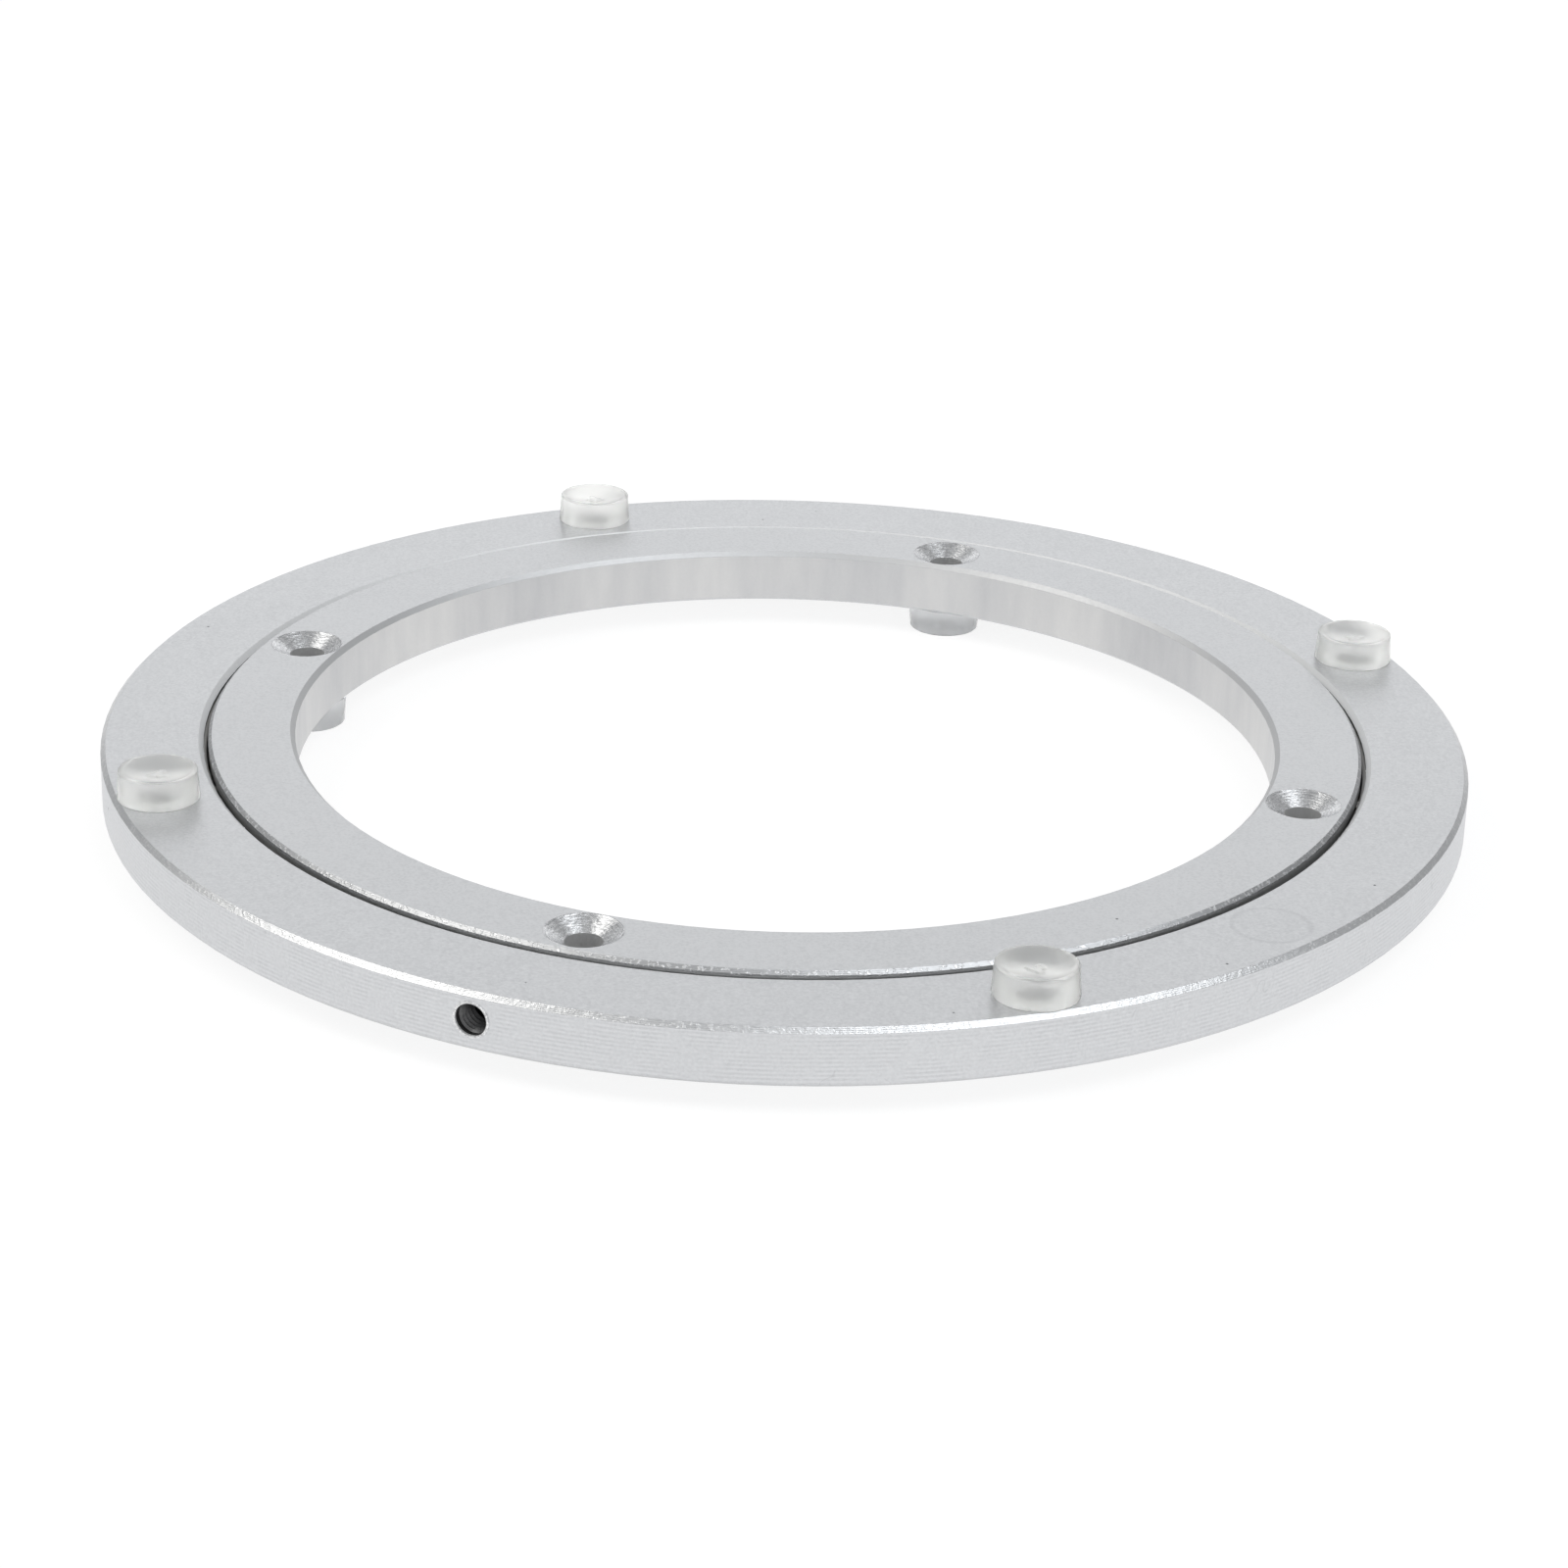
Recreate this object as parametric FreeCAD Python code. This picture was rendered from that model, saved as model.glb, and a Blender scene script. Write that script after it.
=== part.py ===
import FreeCAD, Part
import math
import os

# Rings, in millimetres
outer_dia = 200.0
outer_ring_width = 14.75
seam_gap = 0.7
inner_ring_width = 12.55
ring_thickness = 8.25
inner_ring_proud = 0.47
outer_rim_chamfer = 0.71
seam_chamfer_outer = 0.71
seam_chamfer_inner = 0.5
bore_chamfer = 0.7
bottom_bevel = 0.45

# Screw holes through the inner ring
hole_count = 4
hole_from_bore = 6.13
hole_dia = 5.2
countersink_dia = 10.7
countersink_angle_deg = 118.0
hole_phase_deg = 70.8
hole_exit_bevel = 0.3

# Moulded pads, above and below
pad_count = 4
pad_from_rim = 6.35
pad_phase_deg = 20.6
pad_base_dia = 11.7
pad_top_dia = 11.1
pad_height = 4.2
pad_edge_bevel = 0.15
pad_rim_width = 0.55
pad_dish_depth = 1.0
pad_gate_dia = 1.6
pad_gate_height = 0.16
pad_hollow_dia = 6.2
pad_hollow_depth = 1.1

# Ball race
ball_dia = 4.0
ball_count = 24
ball_clearance = 0.1
ball_phase_deg = 2.0

# Ball retainer
retainer_width = 1.0
retainer_height = 5.0
retainer_gap = 0.3
retainer_pocket_clearance = 0.1
retainer_split_gap = 1.2
retainer_edge_bevel = 0.2

# Ball loading hole and its plug
loading_phase_deg = -113.0
loading_hole_dia = 4.6
loading_hole_bevel = 0.25
plug_fit = 0.02
plug_length = 7.2
plug_tip_gap = 0.5
plug_tip_bevel = 0.5
plug_socket_width = 2.5
plug_socket_depth = 2.4
plug_socket_bevel = 0.2

# Values that follow from the ones above
outer_r = outer_dia / 2.0
seam_outer_r = outer_r - outer_ring_width
seam_inner_r = seam_outer_r - seam_gap
bore_r = seam_inner_r - inner_ring_width
inner_bottom_z = pad_height
inner_top_z = inner_bottom_z + ring_thickness
outer_top_z = inner_top_z - inner_ring_proud
outer_bottom_z = outer_top_z - ring_thickness
race_z = (inner_top_z + outer_bottom_z) / 2.0
race_r = (seam_outer_r + seam_inner_r) / 2.0
ball_r = ball_dia / 2.0
groove_r = ball_r + ball_clearance
hole_pitch_r = bore_r + hole_from_bore
pad_pitch_r = outer_r - pad_from_rim
groove_floor_r = race_r + groove_r
retainer_inner_r = seam_inner_r + retainer_gap
retainer_outer_r = retainer_inner_r + retainer_width
channel_r = retainer_outer_r + retainer_gap
channel_height = retainer_height + 2.0 * retainer_gap
plug_r = loading_hole_dia / 2.0 - plug_fit
plug_tip_r = groove_floor_r + plug_tip_gap
plug_head_r = plug_tip_r + plug_length


def at_angle(radius, angle_deg, z):
    a = math.radians(angle_deg)
    return FreeCAD.Vector(radius * math.cos(a), radius * math.sin(a), z)


def ring_angles(count, phase_deg):
    return [phase_deg + index * 360.0 / count for index in range(count)]


def turned(points):
    corners = [FreeCAD.Vector(r, 0, z) for r, z in points]
    corners.append(corners[0])
    face = Part.Face(Part.makePolygon(corners))
    return face.revolve(FreeCAD.Vector(0, 0, 0), FreeCAD.Vector(0, 0, 1), 360)


def stood_radially(shape, angle_deg, z):
    # A shape built along +Z is laid along the radius at this angle and height
    shape.rotate(FreeCAD.Vector(0, 0, 0), FreeCAD.Vector(0, 1, 0), 90)
    shape.rotate(FreeCAD.Vector(0, 0, 0), FreeCAD.Vector(0, 0, 1), angle_deg)
    shape.translate(FreeCAD.Vector(0, 0, z))
    return shape


def ball_groove():
    # The race is one torus, cut half into each ring
    return Part.makeTorus(race_r, groove_r, FreeCAD.Vector(0, 0, race_z), FreeCAD.Vector(0, 0, 1))


def make_outer_ring():
    top = outer_top_z
    bottom = outer_bottom_z
    profile = [
        (seam_outer_r + bottom_bevel, bottom),
        (outer_r - bottom_bevel, bottom),
        (outer_r, bottom + bottom_bevel),
        (outer_r, top - outer_rim_chamfer),
        (outer_r - outer_rim_chamfer, top),
        (seam_outer_r + seam_chamfer_outer, top),
        (seam_outer_r, top - seam_chamfer_outer),
        (seam_outer_r, race_z + channel_height / 2.0),
        (channel_r, race_z + channel_height / 2.0),
        (channel_r, race_z - channel_height / 2.0),
        (seam_outer_r, race_z - channel_height / 2.0),
        (seam_outer_r, bottom + bottom_bevel),
    ]
    ring = turned(profile)
    ring = ring.cut(ball_groove())
    hole = Part.makeCylinder(loading_hole_dia / 2.0, outer_r - race_r, FreeCAD.Vector(0, 0, race_r))
    mouth_r = loading_hole_dia / 2.0 + loading_hole_bevel
    mouth = Part.makeCone(
        loading_hole_dia / 2.0,
        mouth_r,
        loading_hole_bevel,
        FreeCAD.Vector(0, 0, outer_r - loading_hole_bevel),
    )
    cutter = stood_radially(hole.fuse(mouth), loading_phase_deg, race_z)
    return ring.cut(cutter)


def screw_hole():
    # Through hole, countersunk with a drill point from above, edge broken below
    hole_r = hole_dia / 2.0
    sink_r = countersink_dia / 2.0
    sink_slope = 1.0 / math.tan(math.radians(countersink_angle_deg / 2.0))
    overrun = 1.0
    profile = [
        (0, inner_bottom_z - overrun),
        (hole_r + hole_exit_bevel + overrun, inner_bottom_z - overrun),
        (hole_r, inner_bottom_z + hole_exit_bevel),
        (hole_r, inner_top_z - (sink_r - hole_r) * sink_slope),
        (sink_r + overrun, inner_top_z + overrun * sink_slope),
        (0, inner_top_z + overrun * sink_slope),
    ]
    return turned(profile)


def make_inner_ring():
    top = inner_top_z
    bottom = inner_bottom_z
    profile = [
        (bore_r + bottom_bevel, bottom),
        (seam_inner_r - bottom_bevel, bottom),
        (seam_inner_r, bottom + bottom_bevel),
        (seam_inner_r, top - seam_chamfer_inner),
        (seam_inner_r - seam_chamfer_inner, top),
        (bore_r + bore_chamfer, top),
        (bore_r, top - bore_chamfer),
        (bore_r, bottom + bottom_bevel),
    ]
    ring = turned(profile)
    ring = ring.cut(ball_groove())
    for angle in ring_angles(hole_count, hole_phase_deg):
        cutter = screw_hole()
        cutter.translate(at_angle(hole_pitch_r, angle, 0))
        ring = ring.cut(cutter)
    return ring


def make_retainer():
    # A flat nylon strip bent into a split ring, with a round pocket for each ball
    half = retainer_height / 2.0
    bevel = retainer_edge_bevel
    profile = [
        (retainer_inner_r, race_z - half + bevel),
        (retainer_inner_r + bevel, race_z - half),
        (retainer_outer_r - bevel, race_z - half),
        (retainer_outer_r, race_z - half + bevel),
        (retainer_outer_r, race_z + half - bevel),
        (retainer_outer_r - bevel, race_z + half),
        (retainer_inner_r + bevel, race_z + half),
        (retainer_inner_r, race_z + half - bevel),
    ]
    strip = turned(profile)
    pocket_r = ball_r + retainer_pocket_clearance
    pocket_length = 3.0 * retainer_width
    start_r = retainer_inner_r - retainer_width
    for angle in ring_angles(ball_count, ball_phase_deg):
        pocket = Part.makeCylinder(pocket_r, pocket_length, FreeCAD.Vector(0, 0, start_r))
        strip = strip.cut(stood_radially(pocket, angle, race_z))
    split_corner = FreeCAD.Vector(-retainer_height, -retainer_split_gap / 2.0, start_r)
    split = Part.makeBox(2.0 * retainer_height, retainer_split_gap, pocket_length, split_corner)
    split_angle = ball_phase_deg + 180.0 / ball_count
    return strip.cut(stood_radially(split, split_angle, race_z))


def make_ball(angle):
    return Part.makeSphere(ball_r, at_angle(race_r, angle, race_z))


def make_plug():
    # Socket set screw, bevelled at the tip, with its hexagon facing outwards
    body_profile = [
        (0, plug_tip_r),
        (plug_r - plug_tip_bevel, plug_tip_r),
        (plug_r, plug_tip_r + plug_tip_bevel),
        (plug_r, plug_head_r - plug_socket_bevel),
        (plug_r - plug_socket_bevel, plug_head_r),
        (0, plug_head_r),
    ]
    body = turned(body_profile)
    corner_r = plug_socket_width / math.sqrt(3.0)
    floor = plug_head_r - plug_socket_depth
    corners = [at_angle(corner_r, 60.0 * index, floor) for index in range(7)]
    socket = Part.Face(Part.makePolygon(corners)).extrude(FreeCAD.Vector(0, 0, plug_socket_depth))
    return stood_radially(body.cut(socket), loading_phase_deg, race_z)


def pad_shape():
    # Tapered round bumper: a shallow dish in its free end, a hollow in its glued end
    base_r = pad_base_dia / 2.0
    top_r = pad_top_dia / 2.0
    dish_r = top_r - pad_rim_width
    taper = (base_r - top_r) / pad_height
    profile = [
        (0, 0),
        (base_r, 0),
        (top_r + taper * pad_edge_bevel, pad_height - pad_edge_bevel),
        (top_r - pad_edge_bevel, pad_height),
        (0, pad_height),
    ]
    pad = turned(profile)
    dish_size = (dish_r ** 2 + pad_dish_depth ** 2) / (2.0 * pad_dish_depth)
    dish_centre = FreeCAD.Vector(0, 0, pad_height - pad_dish_depth + dish_size)
    pad = pad.cut(Part.makeSphere(dish_size, dish_centre))
    gate_foot = FreeCAD.Vector(0, 0, pad_height - pad_dish_depth - pad_gate_height)
    gate = Part.makeCylinder(pad_gate_dia / 2.0, 2.0 * pad_gate_height, gate_foot)
    pad = pad.fuse(gate).removeSplitter()
    hollow_r = pad_hollow_dia / 2.0
    hollow_size = (hollow_r ** 2 + pad_hollow_depth ** 2) / (2.0 * pad_hollow_depth)
    hollow_centre = FreeCAD.Vector(0, 0, pad_hollow_depth - hollow_size)
    return pad.cut(Part.makeSphere(hollow_size, hollow_centre))


def make_pad(angle):
    # Stuck on the outer ring's top face
    pad = pad_shape()
    pad.translate(at_angle(pad_pitch_r, angle, outer_top_z))
    return pad


def make_foot(angle):
    # The same bumper turned over, stuck under a screw hole
    foot = pad_shape()
    foot.rotate(FreeCAD.Vector(0, 0, 0), FreeCAD.Vector(1, 0, 0), 180)
    foot.translate(at_angle(hole_pitch_r, angle, inner_bottom_z))
    return foot


os.makedirs("parts", exist_ok=True)
make_outer_ring().exportStep("parts/outer_ring.step")
make_inner_ring().exportStep("parts/inner_ring.step")
make_retainer().exportStep("parts/retainer.step")
make_plug().exportStep("parts/loading_plug.step")
for number, angle in enumerate(ring_angles(ball_count, ball_phase_deg), 1):
    make_ball(angle).exportStep("parts/ball_%02d.step" % number)
for number, angle in enumerate(ring_angles(pad_count, pad_phase_deg), 1):
    make_pad(angle).exportStep("parts/pad_%d.step" % number)
for number, angle in enumerate(ring_angles(hole_count, hole_phase_deg), 1):
    make_foot(angle).exportStep("parts/foot_%d.step" % number)
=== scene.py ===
import math

import bmesh
import bpy
from mathutils import Matrix, Vector


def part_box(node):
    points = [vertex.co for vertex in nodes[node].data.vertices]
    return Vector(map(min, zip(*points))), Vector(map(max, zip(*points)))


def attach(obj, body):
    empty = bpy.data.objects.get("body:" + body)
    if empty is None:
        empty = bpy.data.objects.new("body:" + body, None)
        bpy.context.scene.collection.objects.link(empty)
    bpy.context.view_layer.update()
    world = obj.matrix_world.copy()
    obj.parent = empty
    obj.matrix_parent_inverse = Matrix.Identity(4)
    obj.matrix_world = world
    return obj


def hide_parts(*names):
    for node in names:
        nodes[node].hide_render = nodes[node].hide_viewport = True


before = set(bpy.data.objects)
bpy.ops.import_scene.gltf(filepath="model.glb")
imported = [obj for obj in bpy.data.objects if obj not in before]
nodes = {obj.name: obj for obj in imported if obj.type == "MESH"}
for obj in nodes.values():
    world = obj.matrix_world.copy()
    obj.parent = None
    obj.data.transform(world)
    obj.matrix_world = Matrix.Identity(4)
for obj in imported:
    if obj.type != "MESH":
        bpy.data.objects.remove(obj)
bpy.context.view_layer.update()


# Camera, at the height and distance the photo was taken from.
# It looks down on the bearing from the front through a long lens, and leans a
# little, as a camera on a loose tripod does.
def put_in_scene(name, data):
    thing = bpy.data.objects.new(name, data)
    bpy.context.scene.collection.objects.link(thing)
    return thing


outer_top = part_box("outer_ring")[1][2]
camera_distance = 0.6002
camera_elevation = math.radians(22.49)
camera_tilt = math.radians(-0.854)
camera_roll = math.radians(-1.558)
camera_data = bpy.data.cameras.new("camera")
camera_data.lens = 93.23
camera_data.sensor_width = 36.0
camera_data.clip_start = 0.01
camera = put_in_scene("camera", camera_data)
camera_back = -camera_distance * math.cos(camera_elevation)
camera_height = camera_distance * math.sin(camera_elevation) + outer_top
camera_turn = (
    Matrix.Rotation(math.pi / 2 - camera_elevation, 4, "X")
    @ Matrix.Rotation(camera_tilt, 4, "X")
    @ Matrix.Rotation(-camera_roll, 4, "Z")
)
camera.matrix_world = Matrix.Translation((0.0, camera_back, camera_height)) @ camera_turn
bpy.context.scene.camera = camera
bpy.context.scene.view_settings.view_transform = "Standard"


# Studio light.
# Two large softboxes stand left and right, the left one a little warmer, lit
# white sheets hang behind the table and the camera, and a weak panel overhead.
def area_light(name, place, width, height, power, colour):
    data = bpy.data.lights.new(name, "AREA")
    data.shape = "RECTANGLE"
    data.size = width
    data.size_y = height
    data.energy = power
    data.color = colour
    lamp = put_in_scene(name, data)
    turn = (-Vector(place)).to_track_quat("-Z", "Y").to_matrix().to_4x4()
    lamp.matrix_world = Matrix.Translation(place) @ turn


warm = (1.0, 0.985, 0.95)
cool = (0.955, 0.98, 1.0)
white = (1.0, 1.0, 1.0)
sheet_white = (0.985, 0.99, 1.0)
area_light("softbox_left", (-0.96, -0.04, 1.15), 1.2, 0.95, 6.4, warm)
area_light("softbox_right", (0.67, -0.36, 1.29), 1.2, 0.95, 6.4, cool)
area_light("panel_overhead", (0.0, -0.7, 1.75), 1.0, 0.7, 0.8, white)
area_light("sheet_behind", (0.0, 2.2, 0.9), 2.4, 1.3, 7.0, sheet_white)
area_light("sheet_in_front", (0.0, -2.2, 0.9), 2.4, 1.3, 5.0, sheet_white)

world = bpy.data.worlds.new("room")
world.use_nodes = True
bpy.context.scene.world = world
room = world.node_tree.nodes["Background"]
room.inputs["Color"].default_value = (0.98, 0.99, 1.0, 1.0)
room.inputs["Strength"].default_value = 0.45


# Table.
# A plain white table top, wide enough to fill the picture; it stays under the
# feet and takes the bearing's shadow, lightened as on white studio paper.
def feed(tree, inputs, values):
    for name, value in dict(values).items():
        if isinstance(value, bpy.types.NodeSocket):
            tree.links.new(value, inputs[name])
        else:
            inputs[name].default_value = value


def step(tree, kind, values=(), **settings):
    made = tree.nodes.new("ShaderNode" + kind)
    for name, value in settings.items():
        setattr(made, name, value)
    feed(tree, made.inputs, values)
    return made


def maths(tree, operation, *terms):
    return step(tree, "Math", enumerate(terms), operation=operation).outputs[0]


def new_piece(name, mesh, material):
    data = bpy.data.meshes.new(name)
    mesh.to_mesh(data)
    mesh.free()
    data.materials.append(material)
    return put_in_scene(name, data)


table_radius = 4.0
table_sides = 64
table_paint = (0.88, 0.88, 0.88, 1.0)
paper_glow = 1.13
shadow_softening = 0.72
table_mesh = bmesh.new()
bmesh.ops.create_circle(table_mesh, cap_ends=True, radius=table_radius, segments=table_sides)
white_table = bpy.data.materials.new("white_table")
white_table.use_nodes = True
tree = white_table.node_tree
tree.nodes.clear()
paint = step(tree, "BsdfDiffuse", {"Color": table_paint})
glow = step(tree, "Emission", {"Strength": paper_glow})
ray = step(tree, "LightPath").outputs
seen = maths(tree, "MAXIMUM", ray["Is Camera Ray"], ray["Is Glossy Ray"])
seen = maths(tree, "MAXIMUM", seen, ray["Is Transmission Ray"])
lightened = maths(tree, "MULTIPLY", seen, shadow_softening)
paper = {"Fac": lightened, 1: paint.outputs[0], 2: glow.outputs[0]}
paper = step(tree, "MixShader", paper).outputs[0]
step(tree, "OutputMaterial", {"Surface": paper})
table = new_piece("table", table_mesh, white_table)


# Outer ring, which carries the turntable top.
# Turned from aluminium, its top blasted and anodised silver; the outer bevel was cut
# bright, the bevel at the seam is lightened as a painted highlight, and the side keeps the fine
# steps of the turning tool.
def product(tree, first, second):
    return maths(tree, "MULTIPLY", first, second)


def added(tree, value, share, onto):
    return maths(tree, "MULTIPLY_ADD", value, share, onto)


def spread(tree, value, width, middle):
    return added(tree, maths(tree, "SUBTRACT", value, 0.5), width, middle)


def opposite(tree, mask):
    return maths(tree, "SUBTRACT", 1.0, mask)


def fade(tree, value, none_at, all_at):
    values = {"Value": value, "From Min": none_at, "From Max": all_at}
    return step(tree, "MapRange", values, interpolation_type="SMOOTHSTEP").outputs[0]


def tint(tree, share, first, second):
    return step(tree, "Mix", {0: share, 6: first, 7: second}, data_type="RGBA").outputs[2]


def point(tree, *sides):
    return step(tree, "CombineXYZ", enumerate(sides)).outputs[0]


def noise(tree, place, size, detail=2.0):
    values = {"Vector": place, "Scale": 1.0 / size, "Detail": detail}
    return step(tree, "TexNoise", values).outputs["Fac"]


def relief(tree, height):
    return step(tree, "Bump", {"Height": height, "Distance": 0.001}).outputs["Normal"]


def effect(name, takes, gives):
    tree = bpy.data.node_groups.new(name, "ShaderNodeTree")
    for label, kind in takes.items():
        tree.interface.new_socket(label, in_out="INPUT", socket_type="NodeSocket" + kind)
    for label in gives:
        tree.interface.new_socket(label, in_out="OUTPUT", socket_type="NodeSocketFloat")
    given = tree.nodes.new("NodeGroupInput").outputs
    return tree, given, tree.nodes.new("NodeGroupOutput").inputs


def use(tree, group, values):
    made = tree.nodes.new("ShaderNodeGroup")
    made.node_tree = group
    feed(tree, made.inputs, values)
    return made.outputs


def new_finish(name):
    material = bpy.data.materials.new(name)
    material.use_nodes = True
    tree = material.node_tree
    place = tree.nodes.new("ShaderNodeTexCoord").outputs["Object"]
    return material, tree, tree.nodes["Principled BSDF"], place


def wear(node, material):
    slots = nodes[node].data.materials
    slots.clear()
    slots.append(material)


# Where a point is on a turned piece, in millimetres and degrees.
to_mm = 1000.0
turned_place, given, out = effect(
    "place_on_turned_piece", {"Place": "Vector"}, ("Radius", "Around", "Height")
)
sides = step(turned_place, "SeparateXYZ", {0: given["Place"]}).outputs
flat = point(turned_place, sides[0], sides[1])
radius = step(turned_place, "VectorMath", {0: flat}, operation="LENGTH").outputs["Value"]
radius = product(turned_place, radius, to_mm)
around = maths(turned_place, "ARCTAN2", sides[1], sides[0])
around = maths(turned_place, "DEGREES", around)
height = product(turned_place, sides[2], to_mm)
feed(turned_place, out, {"Radius": radius, "Around": around, "Height": height})

# How far a point is from the nearest of four like things set round the ring.
quarter_turn = 90.0
nearest_of_four, given, out = effect(
    "nearest_of_four",
    {"Radius": "Float", "Around": "Float", "First Angle": "Float", "Pitch Radius": "Float"},
    ("Distance", "Swing", "Which"),
)
past = maths(nearest_of_four, "SUBTRACT", given["Around"], given["First Angle"])
which = maths(nearest_of_four, "DIVIDE", past, quarter_turn)
which = maths(nearest_of_four, "ROUND", which)
off = maths(nearest_of_four, "RADIANS", added(nearest_of_four, which, -quarter_turn, past))
along = product(nearest_of_four, given["Radius"], maths(nearest_of_four, "COSINE", off))
along = maths(nearest_of_four, "SUBTRACT", along, given["Pitch Radius"])
aside = product(nearest_of_four, given["Radius"], maths(nearest_of_four, "SINE", off))
square = added(nearest_of_four, along, along, product(nearest_of_four, aside, aside))
distance = maths(nearest_of_four, "SQRT", square)
swing = maths(nearest_of_four, "ARCTAN2", aside, along)
feed(nearest_of_four, out, {"Distance": distance, "Swing": swing, "Which": which})

# Blasted grain: a fine even tone, larger clouds, and a relief for the glints.
cloud_size = 0.014
relief_coarseness = 0.62
blasted_grain, given, out = effect(
    "blasted_grain", {"Place": "Vector", "Grain Size": "Float"}, ("Tone", "Cloud", "Relief")
)
finer = maths(blasted_grain, "DIVIDE", to_mm, given["Grain Size"])
coarser = product(blasted_grain, finer, relief_coarseness)
tone = {"Vector": given["Place"], "Scale": finer, "Detail": 2.0}
tone = step(blasted_grain, "TexNoise", tone).outputs["Fac"]
cloud = noise(blasted_grain, given["Place"], cloud_size, 3.0)
bumps = {"Vector": given["Place"], "Scale": coarser, "Detail": 3.0}
bumps = step(blasted_grain, "TexNoise", bumps).outputs["Fac"]
feed(blasted_grain, out, {"Tone": tone, "Cloud": cloud, "Relief": bumps})

# Tool lines, which run round the piece and come and go along their length.
wobble_size = 0.012
wobble_share = 0.45
patch_size = 0.0035
tool_lines, given, out = effect(
    "tool_lines", {"Place": "Vector", "Across": "Float", "Pitch": "Float"}, ("Line",)
)
wobble = product(tool_lines, noise(tool_lines, given["Place"], wobble_size), wobble_share)
turns = maths(tool_lines, "DIVIDE", given["Across"], given["Pitch"])
turns = maths(tool_lines, "ADD", turns, wobble)
wave = maths(tool_lines, "SINE", product(tool_lines, turns, math.tau))
patchy = fade(tool_lines, noise(tool_lines, given["Place"], patch_size), 0.3, 0.65)
feed(tool_lines, out, {"Line": product(tool_lines, wave, patchy)})

# Specks left where the bevelling tool chattered; their relief is real, and where they lighten a
# bevel's colour they are painted glints.
speck_size = 0.0005
specks_and_painted_glints, given, out = effect("specks_and_painted_glints", {"Place": "Vector"}, ("Specks",))
specks = fade(specks_and_painted_glints, noise(specks_and_painted_glints, given["Place"], speck_size), 0.53, 0.64)
feed(specks_and_painted_glints, out, {"Specks": specks})

# Small dark pits here and there, and hair-thin curved scratches.
pits_left_out = 0.82
scratch_size = 0.004
scratched_patch_size = 0.0065
handling_marks, given, out = effect(
    "handling_marks",
    {"Place": "Vector", "Pit Spacing": "Float", "Scratch Share": "Float"},
    ("Pits", "Scratches"),
)
closeness = maths(handling_marks, "DIVIDE", to_mm, given["Pit Spacing"])
cells = {"Vector": given["Place"], "Scale": closeness}
cells = step(handling_marks, "TexVoronoi", cells).outputs
chosen = step(handling_marks, "SeparateColor", {0: cells["Color"]}).outputs
rare = maths(handling_marks, "GREATER_THAN", chosen[0], pits_left_out)
small = fade(handling_marks, cells["Distance"], 0.055, 0.025)
pits = product(handling_marks, rare, small)
hair = noise(handling_marks, given["Place"], scratch_size, 1.0)
hair = maths(handling_marks, "ABSOLUTE", maths(handling_marks, "SUBTRACT", hair, 0.5))
thin = fade(handling_marks, hair, 0.012, 0.004)
patch = noise(handling_marks, given["Place"], scratched_patch_size, 0.0)
clean_share = opposite(handling_marks, given["Scratch Share"])
scratched = maths(handling_marks, "GREATER_THAN", patch, clean_share)
scratches = product(handling_marks, thin, scratched)
feed(handling_marks, out, {"Pits": pits, "Scratches": scratches})

# The ring's own sizes, in millimetres.
outer_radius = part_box("outer_ring")[1][0] * to_mm
outer_face = outer_top * to_mm
outer_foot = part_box("outer_ring")[0][2] * to_mm
edge_bevel = 0.71
seam_edge = 85.25
bevel_soft_out, bevel_soft_in = 0.04, 0.02
gap_wall_none, gap_wall_all = 0.12, 0.04
side_none, side_all = 0.1, 0.05
lower_bevel_none, lower_bevel_all = 0.5, 0.4
side_line_pitch = 0.6
face_line_pitch = 0.5
rim_line_pitch = 0.19
plug_low, plug_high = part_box("loading_plug")
loading_hole_turn = 113.0
loading_hole_height = (plug_low[2] + plug_high[2]) / 2
loading_hole_edge = 2.4
loading_hole_soft = 0.04
grease_shade_none, grease_shade_all = 0.05, 1.4
mark_radius = 5.3
mark_pitch_radius = 92.5
mark_angle = math.radians(-45.1)
mark_line_none, mark_line_all = 0.5, 0.1
mark_at = (
    mark_pitch_radius * math.cos(mark_angle),
    mark_pitch_radius * math.sin(mark_angle),
    outer_face,
)

# What the finish of both rings has in common.
silver = (0.655, 0.662, 0.672, 1.0)
silver_dull = (0.56, 0.567, 0.578, 1.0)
pit_grey = (0.16, 0.165, 0.17, 1.0)
# Near black, for grease and for painted shade in the gap between the rings and in the loading
# hole.
grease_and_painted_shade = (0.09, 0.09, 0.092, 1.0)
ring_grain_size = 0.42
tone_contrast = 1.7
cloud_contrast = 0.35
grain_roughness = 0.16
grain_relief = 0.012
line_relief = 0.004
pit_relief = -0.03

turned_silver = (0.73, 0.738, 0.752, 1.0)
turned_shade = (0.64, 0.647, 0.66, 1.0)
painted_highlight_silver = (0.79, 0.795, 0.8, 1.0)
outer_silver, tree, skin, place = new_finish("anodised_aluminium")
skin.inputs["Metallic"].default_value = 1.0
spot = use(tree, turned_place, {"Place": place})
grain = use(tree, blasted_grain, {"Place": place, "Grain Size": ring_grain_size})
marks = use(tree, handling_marks, {"Place": place, "Pit Spacing": 4.5, "Scratch Share": 0.3})
specks = use(tree, specks_and_painted_glints, {"Place": place})["Specks"]

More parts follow.
